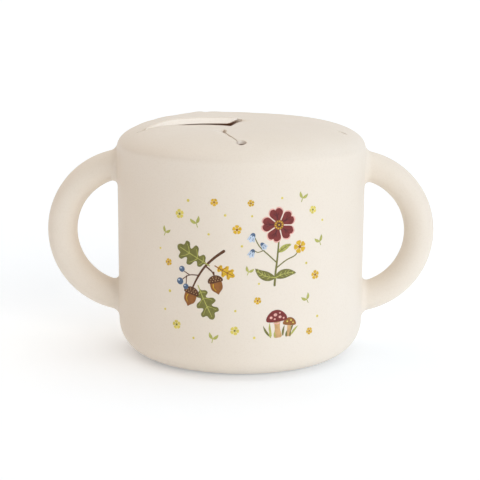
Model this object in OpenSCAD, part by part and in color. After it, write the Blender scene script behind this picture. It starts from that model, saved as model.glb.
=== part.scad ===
// Toddler snack cup in soft silicone: a round cup with two loop handles, and a lid
// with five slits that a small hand reaches through.
//
// Frame: the origin is on the standing surface in the middle of the cup. +Z is up,
// +X runs from the left handle to the right one, and -Y is the front.

/* [Cup] */
// Outer diameter at the top of the wall, under the shoulder of the lid
wall_d_top = 85; // [82:0.5:88]
// Outer diameter at the bottom of the wall, over the foot rounding
wall_d_foot = 84.5; // [82:0.5:88]
// Overall height in the middle, with the lid on
overall_h = 80.7; // [78:0.1:86]
// Thickness of the cup's wall
wall_t = 3.1; // [2.4:0.1:4]
// Thickness of the cup's floor
floor_t = 3.4; // [2.4:0.1:5]
// How far the foot rounding reaches in from the wall
foot_in = 11.3; // [9:0.1:13]
// How far the foot rounding reaches up from the floor
foot_up = 11.5; // [9:0.1:13]
// Radius of the rounding between the floor and the wall, inside
inner_round = 9; // [6:0.5:10]

/* [Handles] */
// Radius of the handle's centre line
loop_r = 23.5; // [21:0.1:25]
// Diameter of the handle's round section
grip_d = 10.2; // [8:0.1:11]
// Distance of the loop's centre from the middle of the cup
loop_x = 38.2; // [37:0.1:40]
// Height of the loop's centre
loop_z = 42; // [40:0.5:43]

/* [Lid] */
// How far the shoulder reaches in from the wall
shoulder_in = 22.5; // [18:0.5:24]
// Height of the shoulder
shoulder_up = 8.4; // [7.5:0.1:9.5]
// Fullness of the shoulder: 2 is a true ellipse, and more is squarer
shoulder_power = 2.2; // [2:0.05:2.6]
// How far the middle of the lid stands above the shoulder
crown_h = 0.8; // [0.4:0.1:1.5]
// Height of the parting line above the end of the wall
parting_up = 1.4; // [1:0.1:1.8]
// Thickness of the lid and of its flaps
lid_t = 2.3; // [1.8:0.1:2.6]
// Depth of the plug that goes down into the cup
plug_h = 6.8; // [5:0.1:9]
// Thickness of the plug's wall
plug_t = 2.5; // [1.8:0.1:3]
// Room all round between the plug's wall and the cup
plug_gap = 0.5; // [0.4:0.05:0.8]
// How far the two sealing ribs stand out from the plug's wall
rib_out = 0.35; // [0.1:0.05:0.35]

/* [Slits and flaps] */
// Distance of the relief holes from the middle of the lid
hole_at = 35.5; // [33:0.5:35.5]
// Diameter of a relief hole
hole_d = 3.3; // [2.4:0.1:3.6]
// Width of a slit
slit_w = 0.5; // [0.4:0.1:0.8]
// Width of a slit where it runs into its relief hole
slit_w_end = 1.3; // [1.2:0.1:1.6]
// Length over which a slit widens to its relief hole
slit_taper = 7; // [5:0.5:9]
// Height of the line that a flap bends about
bend_z = 77.6; // [77.4:0.1:77.8]
// Radius of the rounded root of a flap
root_r = 2.3; // [2.2:0.1:2.5]
// Room between a flap's root and the lid
root_gap = 0.3; // [0.2:0.05:0.4]

/* [Hidden] */
$fn = 96;

cream = [0.925, 0.898, 0.851];      // cup
cream_grip = [0.910, 0.875, 0.820]; // handles
cream_lid = [0.905, 0.875, 0.832];  // lid
cream_flap = [0.885, 0.850, 0.800]; // flaps

r_top = wall_d_top / 2;
r_foot = wall_d_foot / 2;
r_flat = r_top - shoulder_in;             // the shoulder starts here
shoulder_z = overall_h - crown_h;         // height of its flat end
wall_end = shoulder_z - shoulder_up;      // the straight wall ends here
parting_z = wall_end + parting_up;        // the lid rests on the cup here
mouth_r = r_top - wall_t;                 // inside of the cup at its mouth
inner_foot_r = r_foot - wall_t - 0.15;    // inside of the cup at its foot
plug_r = mouth_r - plug_gap;
plug_in = plug_r - plug_t;
plug_z = parting_z - plug_h;

flaps = 5;
step = 360 / flaps;
bend_at = hole_at * cos(step / 2);        // the bend line's distance from the middle
half_len = hole_at * sin(step / 2);       // half its length, up to a hole's centre
root_end = half_len - hole_d / 2 + 0.1;   // half the length of a flap's rounded root

// Height of the lid's top at a distance r from the middle.
function lid_top(r) = r <= r_flat
    ? shoulder_z + crown_h * (1 - pow(r / r_flat, 2))
    : wall_end + shoulder_up * pow(max(0, 1 - pow((r - r_flat) / shoulder_in, shoulder_power)), 1 / shoulder_power);

// Radius of the shoulder at a height z.
function shoulder_r(z) = r_flat + shoulder_in
    * pow(max(0, 1 - pow((z - wall_end) / shoulder_up, shoulder_power)), 1 / shoulder_power);

// The foot rounding, from the floor up to the wall.
foot_line = [for (a = [0:10:90]) [r_foot - foot_in + foot_in * sin(a), foot_up - foot_up * cos(a)]];

// The start of the shoulder, from the end of the wall up to the parting line.
neck_line = [for (i = [0:2]) let (z = wall_end + parting_up * i / 2) [shoulder_r(z), z]];

// The rounding between floor and wall on the inside.
inner_line = [for (a = [90:-15:0]) [inner_foot_r - inner_round + inner_round * sin(a),
                                    floor_t + inner_round - inner_round * cos(a)]];

// The lid's top from the parting line to the middle: close steps where it turns.
lid_line = concat(
    [for (i = [0:5]) let (z = parting_z + (lid_top(r_top - 4.5) - parting_z) * i / 6) [shoulder_r(z), z]],
    [for (r = [r_top - 4.5, r_top - 6.5, r_top - 9, r_top - 12, r_top - 16, r_flat, r_flat * 0.66, r_flat * 0.33, 0]) [r, lid_top(r)]]);

// The lid's underside from the middle to the inside of the plug.
under_line = [for (r = [0, r_flat * 0.33, r_flat * 0.66, r_flat, r_top - 16, r_top - 12, r_top - 9, plug_in - 2]) [r, lid_top(r) - lid_t]];
plug_corner_z = lid_top(plug_in - 2) - lid_t - 2;
corner_line = [for (a = [60:-30:0]) [plug_in - 2 + 2 * cos(a), plug_corner_z + 2 * sin(a)]];

function rib(z) = [[plug_r, z - 0.7], [plug_r + rib_out, z - 0.3], [plug_r + rib_out, z + 0.3], [plug_r, z + 0.7]];

// Everything inside the cup's outer surface, up to the parting line.
module cup_outside() {
    rotate_extrude()
        polygon(concat([[0, 0]], foot_line, neck_line, [[0, parting_z]]));
}

module cup_inside() {
    rotate_extrude()
        polygon(concat([[0, parting_z + 5], [mouth_r, parting_z + 5], [mouth_r, parting_z - plug_h - 2]],
                       inner_line, [[0, floor_t]]));
}

// A ring of the handle's round section, standing in the plane of the two handles.
module loop() {
    rotate([90, 0, 0])
        rotate_extrude()
            translate([loop_r, 0]) circle(d = grip_d);
}

// The whole lid, before the slits are cut.
module lid_blank() {
    rotate_extrude()
        polygon(concat(under_line, corner_line,
            [[plug_in, plug_z + 0.8], [plug_in + 0.8, plug_z], [plug_r - 0.8, plug_z], [plug_r, plug_z + 0.8]],
            rib(parting_z - plug_h * 0.62), rib(parting_z - plug_h * 0.26),
            [[plug_r, parting_z]], lid_line));
}

// Half the width of the flap at a distance x from the middle, with a slit w wide.
function flap_half(x, w) = x * tan(step / 2) - w / 2 / cos(step / 2);

// The flap's outline, seen from above, from its tip past its bend line at x = bend_at.
module flap_outline() {
    tip = slit_w / 2 / sin(step / 2) + 0.4;
    x1 = bend_at - slit_taper * cos(54);
    half = [[tip, flap_half(tip, slit_w)],
            [x1, flap_half(x1, slit_w)],
            [bend_at, flap_half(bend_at, slit_w_end)],
            [bend_at, root_end],
            [bend_at + root_r + 1, root_end]];
    polygon(concat(half, [for (i = [len(half) - 1:-1:0]) [half[i][0], -half[i][1]]]));
}

// A round bar along the bend line.
module root_bar(r, half) {
    translate([bend_at, 0, bend_z])
        rotate([90, 0, 0]) cylinder(r = r, h = 2 * half, center = true);
}

// The two relief holes at the ends of one bend line.
module relief_holes() {
    for (s = [-1, 1])
        translate([bend_at, s * half_len, parting_z - 1]) cylinder(d = hole_d, h = 14);
}

// A flap that reaches from the middle of the lid towards the angle a. Inside its bend line
// it is the whole thickness of the lid, and beyond it only the rounded root is left.
module flap(a) {
    color(cream_flap) rotate([0, 0, a]) difference() {
        intersection() {
            lid_blank();
            translate([0, 0, parting_z]) linear_extrude(height = 12) flap_outline();
            union() {
                translate([0, -30, parting_z]) cube([bend_at, 60, 12]);
                root_bar(root_r, 30);
            }
        }
        relief_holes();
    }
}

module cup_body() {
    color(cream) difference() {
        cup_outside();
        cup_inside();
    }
}

module handle_right() {
    color(cream_grip) difference() {
        translate([loop_x, 0, loop_z]) loop();
        cup_outside();
    }
}

module handle_left() {
    color(cream_grip) difference() {
        translate([-loop_x, 0, loop_z]) loop();
        cup_outside();
    }
}

// The lid with its five-sided opening, its relief holes, and a rounded seat for each flap.
module lid_ring() {
    color(cream_lid) difference() {
        lid_blank();
        translate([0, 0, parting_z]) linear_extrude(height = 12)
            polygon([for (k = [0:flaps - 1]) hole_at * [cos(270 + k * step), sin(270 + k * step)]]);
        for (k = [0:flaps - 1]) rotate([0, 0, 18 + k * step]) {
            root_bar(root_r + root_gap, root_end + root_gap);
            translate([bend_at, half_len, parting_z - 1]) cylinder(d = hole_d, h = 14);
        }
    }
}

module flap_front_left() { flap(234); }
module flap_front_right() { flap(306); }
module flap_right() { flap(18); }
module flap_rear() { flap(90); }
module flap_rear_left() { flap(162); }

cup_body();
handle_left();
handle_right();
lid_ring();
flap_front_left();
flap_front_right();
flap_right();
flap_rear();
flap_rear_left();
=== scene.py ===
import math

import bmesh
import bpy
import numpy as np
from mathutils import Matrix, Vector


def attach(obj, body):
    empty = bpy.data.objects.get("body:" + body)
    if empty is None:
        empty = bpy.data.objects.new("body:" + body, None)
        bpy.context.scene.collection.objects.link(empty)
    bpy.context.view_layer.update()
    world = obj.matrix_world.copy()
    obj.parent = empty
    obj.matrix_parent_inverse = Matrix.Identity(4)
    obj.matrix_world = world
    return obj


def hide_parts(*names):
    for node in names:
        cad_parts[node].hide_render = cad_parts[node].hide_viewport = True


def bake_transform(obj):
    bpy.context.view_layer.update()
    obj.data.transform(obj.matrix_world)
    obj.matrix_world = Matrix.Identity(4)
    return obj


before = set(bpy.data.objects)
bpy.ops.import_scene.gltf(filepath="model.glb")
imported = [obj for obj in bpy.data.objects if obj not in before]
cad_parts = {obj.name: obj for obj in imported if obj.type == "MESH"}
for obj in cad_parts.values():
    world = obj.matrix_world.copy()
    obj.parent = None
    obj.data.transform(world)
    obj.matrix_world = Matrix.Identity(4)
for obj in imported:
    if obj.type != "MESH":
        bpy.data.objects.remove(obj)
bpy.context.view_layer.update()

MM = 0.001

# ---------------------------------------------------------------------------------------------
# Sizes in millimetres, the same as in the CAD model
# ---------------------------------------------------------------------------------------------
R_TOP, R_FOOT = 42.5, 42.25
H, CROWN = 80.7, 0.8
SH_IN, SH_UP, SH_POW = 22.5, 8.4, 2.2
R_FLAT = R_TOP - SH_IN
SH_Z = H - CROWN
WALL_END = SH_Z - SH_UP
PART_Z = WALL_END + 1.4
FOOT_IN, FOOT_UP = 11.3, 11.5
FLOOR_T, INNER_ROUND = 3.4, 9.0
MOUTH_R, INNER_FOOT_R = 39.4, 39.0
LOOP_R, GRIP_R, LOOP_X, LOOP_Z = 23.5, 5.1, 38.2, 42.0
LID_T = 2.3
PLUG_R, PLUG_IN, PLUG_Z = 38.9, 36.4, PART_Z - 6.8
R_C = PLUG_IN - 2.0
HOLE_AT, HOLE_R = 35.5, 1.65
C36, S36, T36 = math.cos(math.radians(36)), math.sin(math.radians(36)), math.tan(math.radians(36))
BEND_AT, HALF_LEN = HOLE_AT * C36, HOLE_AT * S36
JOIN_AT = 29.9           # where a flap's mesh meets the ring's, just outside the bend line
EDGE = 0.15              # rounding of the cut edges
SEAM = 0.06              # rounding of the two edges at the parting line
FILLET = 2.4             # fillet between the handles and the wall


def lid_top(r):
    """Height of the lid's top at a distance r from the middle."""
    r = np.asarray(r, float)
    flat = SH_Z + CROWN * (1 - (r / R_FLAT) ** 2)
    t = np.clip((r - R_FLAT) / SH_IN, 0, 1)
    shoulder = WALL_END + SH_UP * np.power(np.maximum(0, 1 - t ** SH_POW), 1 / SH_POW)
    return np.where(r <= R_FLAT, flat, shoulder)


def lid_under(r):
    """Height of the lid's underside, with the round corner where it meets the plug."""
    r = np.asarray(r, float)
    t = np.clip((r - R_C) / 2.0, 0, 1)
    return lid_top(np.minimum(r, R_C)) - LID_T - 2.0 + 2.0 * np.sqrt(1 - t * t)


def shoulder_r(z):
    t = np.clip((np.asarray(z, float) - WALL_END) / SH_UP, 0, 1)
    return R_FLAT + SH_IN * np.power(np.maximum(0, 1 - t ** SH_POW), 1 / SH_POW)


def wall_r(z):
    """Radius of the cup's wall between the foot rounding and the lid."""
    return R_FOOT + (R_TOP - R_FOOT) * np.clip((np.asarray(z, float) - FOOT_UP) / (WALL_END - FOOT_UP), 0, 1)


# ---------------------------------------------------------------------------------------------
# Mesh helpers
# ---------------------------------------------------------------------------------------------
def new_mesh(name, verts_mm, faces):
    me = bpy.data.meshes.new(name)
    me.from_pydata((np.asarray(verts_mm, float) * MM).tolist(), [], [[int(i) for i in f] for f in faces])
    me.update()
    me.polygons.foreach_set("use_smooth", [True] * len(me.polygons))
    ob = bpy.data.objects.new(name, me)
    bpy.context.scene.collection.objects.link(ob)
    return ob


def arc(cx, cz, r, a0, a1, n):
    return [(cx + r * math.cos(t), cz + r * math.sin(t)) for t in np.radians(np.linspace(a0, a1, n))]


def smoothstep(a, b, x):
    t = np.clip((np.asarray(x, float) - a) / (b - a), 0, 1)
    return t * t * (3 - 2 * t)


def face_normals(verts, faces):
    """Area-weighted normals of polygons of any size."""
    out = np.zeros((len(faces), 3))
    sizes = np.array([len(f) for f in faces])
    for n in np.unique(sizes):
        which = np.nonzero(sizes == n)[0]
        p = verts[np.array([faces[i] for i in which])]
        q = np.roll(p, -1, axis=1)
        out[which] = 0.5 * np.cross(p, q).sum(1)
    return out


def vertex_normals(verts, faces, skip=None, group=None):
    """Area-weighted vertex normals. Vertices with one group number share a normal."""
    fn = face_normals(verts, faces)
    group = np.arange(len(verts)) if group is None else group
    acc = np.zeros((group.max() + 1, 3))
    for i, f in enumerate(faces):
        if skip is None or not skip[i]:
            acc[group[list(f)]] += fn[i]
    acc /= np.maximum(np.linalg.norm(acc, axis=1), 1e-12)[:, None]
    return acc[group], fn / np.maximum(np.linalg.norm(fn, axis=1), 1e-12)[:, None]


def curve_through(points):
    """Monotone cubic through (x, y) points, as a function of x."""
    x = np.array([p[0] for p in points], float)
    y = np.array([p[1] for p in points], float)
    h, d = np.diff(x), np.diff(y) / np.diff(x)
    m = np.zeros(len(x))
    m[0], m[-1] = d[0], d[-1]
    for i in range(1, len(x) - 1):
        if d[i - 1] * d[i] > 0:
            w1, w2 = 2 * h[i] + h[i - 1], h[i] + 2 * h[i - 1]
            m[i] = (w1 + w2) / (w1 / d[i - 1] + w2 / d[i])

    def f(q):
        q = np.asarray(q, float)
        i = np.clip(np.searchsorted(x, q) - 1, 0, len(x) - 2)
        t = np.clip((q - x[i]) / h[i], 0, 1)
        t2, t3 = t * t, t * t * t
        return (2 * t3 - 3 * t2 + 1) * y[i] + (t3 - 2 * t2 + t) * h[i] * m[i] + (3 * t2 - 2 * t3) * y[i + 1] + (t3 - t2) * h[i] * m[i + 1]
    return f


# ---------------------------------------------------------------------------------------------
# The cup and its two handles: one moulding, so one skin with soft fillets where they join.
# It is the level surface of a distance field, netted on a round grid and pulled onto it.
# ---------------------------------------------------------------------------------------------
def cup_outer(r, z):
    """Distance outside the cup's outer surface, handles left out."""
    c = R_FOOT - FOOT_IN
    curve = (np.sqrt((np.maximum(r - c, 0) / FOOT_IN) ** 2 + ((z - FOOT_UP) / FOOT_UP) ** 2) - 1) * 0.5 * (FOOT_IN + FOOT_UP)
    side = r - np.where(z > WALL_END, shoulder_r(np.minimum(z, WALL_END + 7)), wall_r(z))
    return np.where(z >= FOOT_UP, side, np.where(r > c, curve, -z))


def cup_inner(r, z):
    """The same for the hollow in it, negative in the hollow."""
    c, zc = INNER_FOOT_R - INNER_ROUND, FLOOR_T + INNER_ROUND
    side = r - (INNER_FOOT_R + (MOUTH_R - INNER_FOOT_R) * np.clip((z - zc) / (64.1 - zc), 0, 1))
    curve = np.hypot(r - c, z - zc) - INNER_ROUND
    return np.where(z >= zc, side, np.where(r > c, curve, FLOOR_T - z))


def cup_field(x, y, z):
    r = np.hypot(x, y)
    outer = cup_outer(r, z)
    loop = np.hypot(np.hypot(np.abs(x) - LOOP_X, z - LOOP_Z) - LOOP_R, y) - GRIP_R
    u, v = np.maximum(FILLET - outer, 0), np.maximum(FILLET - loop, 0)
    body = np.maximum(FILLET, np.minimum(outer, loop)) - np.hypot(u, v)
    return np.maximum(body, -cup_inner(r, z))


def build_cup():
    fine, coarse = math.radians(0.75), math.radians(1.5)
    th = []
    for start in (0.0, math.pi):
        a = start - math.radians(12)
        while a < start + math.radians(12) - 1e-9:
            th.append(a)
            a += fine
        while a < start + math.pi - math.radians(12) - 1e-9:
            th.append(a)
            a += coarse
    th = np.array(th)
    n = len(th)
    th_next = np.append(th[1:], th[0] + 2 * math.pi)
    rs = np.concatenate([[0.0, 3, 6, 9, 12, 15, 18, 20.5, 22.5, 24.5, 26, 27.5, 29, 30.2, 31.3, 32.3, 33.3, 34.2, 35.1, 35.9, 36.7, 37.4, 38.1, 38.5, 40.0, 41.2, 43.0],
                         np.arange(43.8, 68.6, 0.8)])
    zs = np.concatenate([[-1.0, 0.5, 1.2, 1.9, 2.8, 3.9, 4.6, 5.3, 6.0, 6.8, 7.6, 8.4, 9.2, 10.0, 10.8, 11.6], np.arange(12.4, 71.7, 0.8), [72.2, 72.65]])
    rg, tg, zg = np.meshgrid(rs, th, zs, indexing="ij")
    f = cup_field(rg * np.cos(tg), rg * np.sin(tg), zg)
    nz = len(zs)
    s = f < 0
    s1, f1 = np.roll(s, -1, axis=1), np.roll(f, -1, axis=1)
    count = sum(c.astype(np.int8) for c in (s[:-1, :, :-1], s[1:, :, :-1], s1[:-1, :, :-1], s1[1:, :, :-1],
                                            s[:-1, :, 1:], s[1:, :, 1:], s1[:-1, :, 1:], s1[1:, :, 1:]))
    active = (count > 0) & (count < 8)
    ids = np.full(active.shape, -1, np.int64)
    ids[active] = np.arange(active.sum())
    ci, cj, ck = np.nonzero(active)
    acc, num = np.zeros((len(ci), 3)), np.zeros(len(ci))
    corners = [(a, b, c) for a in (0, 1) for b in (0, 1) for c in (0, 1)]
    value = {c: (f1 if c[1] else f)[ci + c[0], cj, ck + c[2]] for c in corners}
    for a in corners:
        for axis in range(3):
            if a[axis] == 0:
                b = tuple(1 if k == axis else a[k] for k in range(3))
                fa, fb = value[a], value[b]
                hit = (fa < 0) != (fb < 0)
                t = np.where(hit, fa / np.where(fa == fb, 1, fa - fb), 0)
                point = np.array(a)[None, :] + t[:, None] * (np.array(b) - np.array(a))[None, :]
                acc += np.where(hit[:, None], point, 0)
                num += hit
    acc /= num[:, None]
    r = rs[ci] + acc[:, 0] * (rs[ci + 1] - rs[ci])
    t = th[cj] + acc[:, 1] * (th_next[cj] - th[cj])
    z = zs[ck] + acc[:, 2] * (zs[ck + 1] - zs[ck])
    p = np.stack([r * np.cos(t), r * np.sin(t), z], 1)

    def gradient(q):
        e = 0.004
        g = np.stack([cup_field(q[:, 0] + e, q[:, 1], q[:, 2]) - cup_field(q[:, 0] - e, q[:, 1], q[:, 2]),
                      cup_field(q[:, 0], q[:, 1] + e, q[:, 2]) - cup_field(q[:, 0], q[:, 1] - e, q[:, 2]),
                      cup_field(q[:, 0], q[:, 1], q[:, 2] + e) - cup_field(q[:, 0], q[:, 1], q[:, 2] - e)], 1) / (2 * e)
        return g

    top = ck == nz - 2
    for _ in range(6):
        f0 = cup_field(p[:, 0], p[:, 1], p[:, 2])
        g = gradient(p)
        g /= np.maximum((g * g).sum(1), 0.09)[:, None]
        step = np.clip(f0, -0.7, 0.7)[:, None] * g
        step[top, 2] = 0
        p -= step
    normals = gradient(p)
    normals /= np.linalg.norm(normals, axis=1)[:, None]
    faces = []

    def quads(mask, c0, c1, c2, c3, forward):
        q = np.stack([c0[mask], c1[mask], c2[mask], c3[mask]], 1)
        turn = ~forward[mask]
        q[turn] = q[turn][:, ::-1]
        faces.append(q[(q >= 0).all(1)])

    prev = np.roll(ids, 1, axis=1)
    a = s[:-1, :, 1:-1]
    quads(a != s[1:, :, 1:-1], prev[:, :, :-1], ids[:, :, :-1], ids[:, :, 1:], prev[:, :, 1:], a)
    a = s[1:-1, :, 1:-1]
    quads(a != s1[1:-1, :, 1:-1], ids[:-1, :, :-1], ids[:-1, :, 1:], ids[1:, :, 1:], ids[1:, :, :-1], a)
    a = s[1:-1, :, :-1]
    quads(a != s[1:-1, :, 1:], prev[:-1], prev[1:], ids[1:], ids[:-1], a)
    polys = [list(q) for q in np.vstack(faces)]
    verts, norms = [tuple(q) for q in p], [tuple(q) for q in normals]
    for k in range(nz - 1):          # the two middles, under the floor and on it
        if s[0, 0, k] != s[0, 0, k + 1]:
            ring = ids[0, :, k]
            down = not s[0, 0, k]
            verts.append((0.0, 0.0, float(np.mean(p[ring, 2]))))
            norms.append((0.0, 0.0, -1.0 if down else 1.0))
            for j in range(n):
                a, b = ring[j], ring[(j + 1) % n]
                polys.append([len(verts) - 1, b, a] if down else [len(verts) - 1, a, b])
    # the rim, turned exactly, from the outer open edge over the top to the inner one
    cols = np.nonzero(active[:, 0, nz - 2])[0]
    ring_in, ring_out = ids[cols.min(), :, nz - 2], ids[cols.max(), :, nz - 2]
    ang = np.arctan2(p[ring_out, 1], p[ring_out, 0])
    ro = float(shoulder_r(PART_Z))
    steep = math.atan2(float(shoulder_r(PART_Z - 0.1) - shoulder_r(PART_Z)), 0.1)
    line = [(float(shoulder_r(72.7)), 72.7, math.degrees(steep))]
    line += [(x, y, k * 30) for k, (x, y) in enumerate(arc(ro - SEAM, PART_Z - SEAM, SEAM, 0, 90, 4))]
    line += [(41.4, PART_Z, 90), (40.4, PART_Z, 90)] + [(x, y, 90 + k * 15) for k, (x, y) in enumerate(arc(MOUTH_R + 0.5, PART_Z - 0.5, 0.5, 90, 180, 7))]
    last = ring_out
    for lr, lz, la in line:
        start = len(verts)
        verts += [(lr * math.cos(q), lr * math.sin(q), lz) for q in ang]
        nr_, nz_ = math.cos(math.radians(la)), math.sin(math.radians(la))
        norms += [(nr_ * math.cos(q), nr_ * math.sin(q), nz_) for q in ang]
        now = list(range(start, start + n))
        for j in range(n):
            j1 = (j + 1) % n
            polys.append([last[j], last[j1], now[j1], now[j]])
        last = now
    for j in range(n):
        j1 = (j + 1) % n
        polys.append([last[j], last[j1], ring_in[j1], ring_in[j]])
    ob = new_mesh("cup_shell", verts, polys)
    ob.data.normals_split_custom_set_from_vertices(norms)
    return ob


# ---------------------------------------------------------------------------------------------
# The lid: a ring, and five flaps that grow out of it without a seam
# ---------------------------------------------------------------------------------------------
def edge_drop(d, e=EDGE):
    """How far a rounded edge has dropped at a distance d from it."""
    d = np.clip(d, 0, e)
    return e - np.sqrt(np.maximum(0, e * e - (e - d) ** 2))


def hole_dist(x, y):
    """Distance outside the nearest relief hole, in a flap's own frame (x outwards)."""
    return np.hypot(x - BEND_AT, np.abs(y) - HALF_LEN) - HOLE_R


JOIN_Y = HALF_LEN - math.sqrt(HOLE_R ** 2 - (JOIN_AT - BEND_AT) ** 2)
NEAR = [0.0, 0.02, 0.05, 0.1, 0.17, 0.27, 0.42, 0.8]     # distances from a cut edge
INNER_N = 22


def across(b):
    """Places across half a flap, from the middle to its edge at b."""
    k = min(1.0, b / 1.6)
    off = [d * k for d in NEAR]
    rest = [(b - off[-1]) * i / INNER_N for i in range(INNER_N + 1)]
    return np.array(rest + [b - d for d in off[-2::-1]])


# plan of the slit at the front, from its relief hole to the middle (X, Y)
FRONT_SLIT = [(-1.25, -34.42), (-2.6, -31.6), (-4.0, -28.4), (-5.2, -24.2), (-5.95, -20.6), (-5.7, -17.4), (-4.35, -14.4),
              (-3.3, -11.0), (-2.3, -7.0), (-1.45, -3.5), (0.0, 0.0)]


def in_flap(points, a):
    """Plan points in the frame of the flap that points to angle a."""
    c, s = math.cos(math.radians(a)), math.sin(math.radians(a))
    return [(x * c + y * s, -x * s + y * c) for x, y in points]


def straight_edge(gap, root_gap=None):
    """A straight slit's edge. A slit that is open at the middle may close towards its relief hole."""
    root_gap = gap if root_gap is None else root_gap

    def f(x):
        x = np.asarray(x, float)
        return x * T36 - (gap + (root_gap - gap) * smoothstep(11.0, 14.0, x)) / 2 / C36
    return f


def make_edge(base):
    """Half-width of a flap: its slit, and then the rim of its relief hole."""
    def f(x):
        x = np.asarray(x, float)
        dx = np.clip(np.abs(x - BEND_AT), 0, HOLE_R)
        rim = HALF_LEN - np.sqrt(HOLE_R ** 2 - dx ** 2)
        return np.where(x > BEND_AT - HOLE_R + 0.01, np.minimum(base(x), rim), base(x))
    return f


def slit_curve(a, side, shift):
    """The front slit as an edge of the flap at angle a; shift(x) moves it into the flap."""
    pts = [(x, side * y) for x, y in in_flap(FRONT_SLIT, a)][::-1]
    line = curve_through(pts)
    x = np.append(np.arange(0, pts[-1][0], 0.4), pts[-1][0])
    y = line(x)
    slope = np.gradient(y, x)
    s = np.array([shift(q) for q in x])
    xs, ys = x + s * slope / np.hypot(1, slope), y - s / np.hypot(1, slope)
    xs[0], ys[0] = 0.0, 0.0
    keep = np.append(True, np.diff(np.maximum.accumulate(xs)) > 0.05)
    xs, ys = xs[keep], ys[keep]
    return curve_through(list(zip(xs, ys)) + [(xs[-1] + 1.4, ys[-1] + 3.5)])


def round_tip(base, xc):
    """Rounds off the tip of a flap with the circle about xc that touches both its edges."""
    r = xc * S36

    def f(x):
        x = np.asarray(x, float)
        return np.where(x < xc * C36 * C36, np.minimum(base(x), np.sqrt(np.maximum(r * r - (x - xc) ** 2, 1e-4))), base(x))
    return f


def rise_rear_left(x, y, b):
    """The rear left flap stands up a little, most along its front edge."""
    lift = curve_through([(-1.3, 0), (-0.6, 0.0), (0.7, 0.22), (2.0, 0.6), (4.45, 1.25), (6.9, 1.7), (10.1, 2.0), (12.5, 2.02), (16.6, 1.75), (20.6, 1.4), (24.7, 1.05), (29, 0.75)])(BEND_AT - x)
    s = BEND_AT - x
    corner = 0.22 * smoothstep(-1.18, 0.3, s) * (1 - smoothstep(1.0, 4.0, s)) * smoothstep(14.0, 18.5, y)
    return lift * (0.76 + 0.24 * y / np.maximum(b, 0.3)) + corner


def rise_front_left(x, y, b):
    """The front left one has sunk, and more towards its tip."""
    s = np.clip(BEND_AT - x, 0, 26.5)
    dip = -2.2 * (s / 26) ** 2.2
    edge = smoothstep(0.45, 1.0, y / np.maximum(b, 0.3))
    return dip - edge * (0.24 * smoothstep(0.3, 3.0, BEND_AT - x) * smoothstep(15, 19, x) + 0.45 * np.exp(-((x - 19.6) / 2.2) ** 2))


def rise_front_right(x, y, b):
    near_slit = 1 - smoothstep(-0.6, 0.9, y / np.maximum(b, 0.3))      # the slit at the front is its edge at -y
    return (-0.3 * smoothstep(2, 20, BEND_AT - x) - 0.35 * smoothstep(20, 28, BEND_AT - x)) * near_slit


def swell(x, y):
    """The lid is drawn up a little at the rear, next to the flap that stands up (plan X, Y)."""
    a, r = np.degrees(np.arctan2(y, x)), np.hypot(x, y)
    lift = 0.28 * smoothstep(74, 96, a) * (1 - smoothstep(112, 136, a)) + 0.36 * np.exp(-((a - 112) / 8.5) ** 2)
    side = 0.5 * smoothstep(133, 142, a) * (1 - smoothstep(144, 154, a)) + 0.22 * smoothstep(144, 154, a) * (1 - smoothstep(160, 176, a))
    return lift * smoothstep(14, 27, r) * (1 - smoothstep(31, 38.5, r)) + side * smoothstep(24, 34, r) * (1 - smoothstep(35.2, 38.6, r))


def pinch(verts):
    """The holes at the left and the right have closed up a little across their slits (plan X, Y)."""
    out = verts.copy()
    for a, by in PINCH:
        c, s = math.cos(math.radians(a)), math.sin(math.radians(a))
        u, v = verts[:, 0] * c + verts[:, 1] * s - HOLE_AT, -verts[:, 0] * s + verts[:, 1] * c
        d = np.abs(v)
        move = by * np.sign(v) * np.where(d < HOLE_R, d / HOLE_R, 1 - smoothstep(HOLE_R, 6.0, d)) * (1 - smoothstep(1.2, 5.0, np.abs(u)))
        out[:, 0] += move * s
        out[:, 1] -= move * c
    return out


def rise_none(x, y, b):
    return 0.0 * x


CLOSED, OPEN = 0.024, 0.14
TIP_C = 4.0              # the lifted flap's tip is rounded about a point this far from the middle
SHARP = 0.05             # rounding of the edges of the slits that have stayed closed
PINCH = ((198.0, 1.1), (342.0, 0.85))     # how far each side of those two holes has moved in


def front_gap_left(x):
    """Half the front slit's width on the side of the flap that has sunk, by its distance from the middle."""
    return 0.1 + 0.18 * float(smoothstep(20.5, 22, x)) + 0.35 * float(smoothstep(17.6, 19.4, x) * (1 - smoothstep(19.8, 24.0, x)))


def front_gap_right(x):
    """The same on the other side, where the slit gapes a little at its turn."""
    return OPEN / 2 + 1.05 * float(smoothstep(10.4, 12.6, x) * (1 - smoothstep(12.8, 17.6, x)))


# angle, edge towards the smaller angle (-y), edge towards the larger one (+y), rise, rounding of the two
FLAPS = {
    "flap_right": (18.0, straight_edge(CLOSED), straight_edge(CLOSED), rise_none, SHARP, SHARP),
    "flap_rear": (90.0, straight_edge(CLOSED), straight_edge(CLOSED), rise_none, SHARP, SHARP),
    "flap_rear_left": (162.0, round_tip(straight_edge(CLOSED), TIP_C), round_tip(straight_edge(OPEN, 0.03), TIP_C), rise_rear_left, SHARP, 0.45),
    "flap_front_left": (234.0, straight_edge(OPEN, 0.03), slit_curve(234.0, 1, front_gap_left), rise_front_left, EDGE, EDGE),
    "flap_front_right": (306.0, slit_curve(306.0, -1, front_gap_right), straight_edge(CLOSED), rise_front_right, EDGE, SHARP),
}
WALL_STEPS = [0.04, 0.12, 0.35, 0.65, 0.88, 0.96]    # heights on a cut face, as shares


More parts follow.
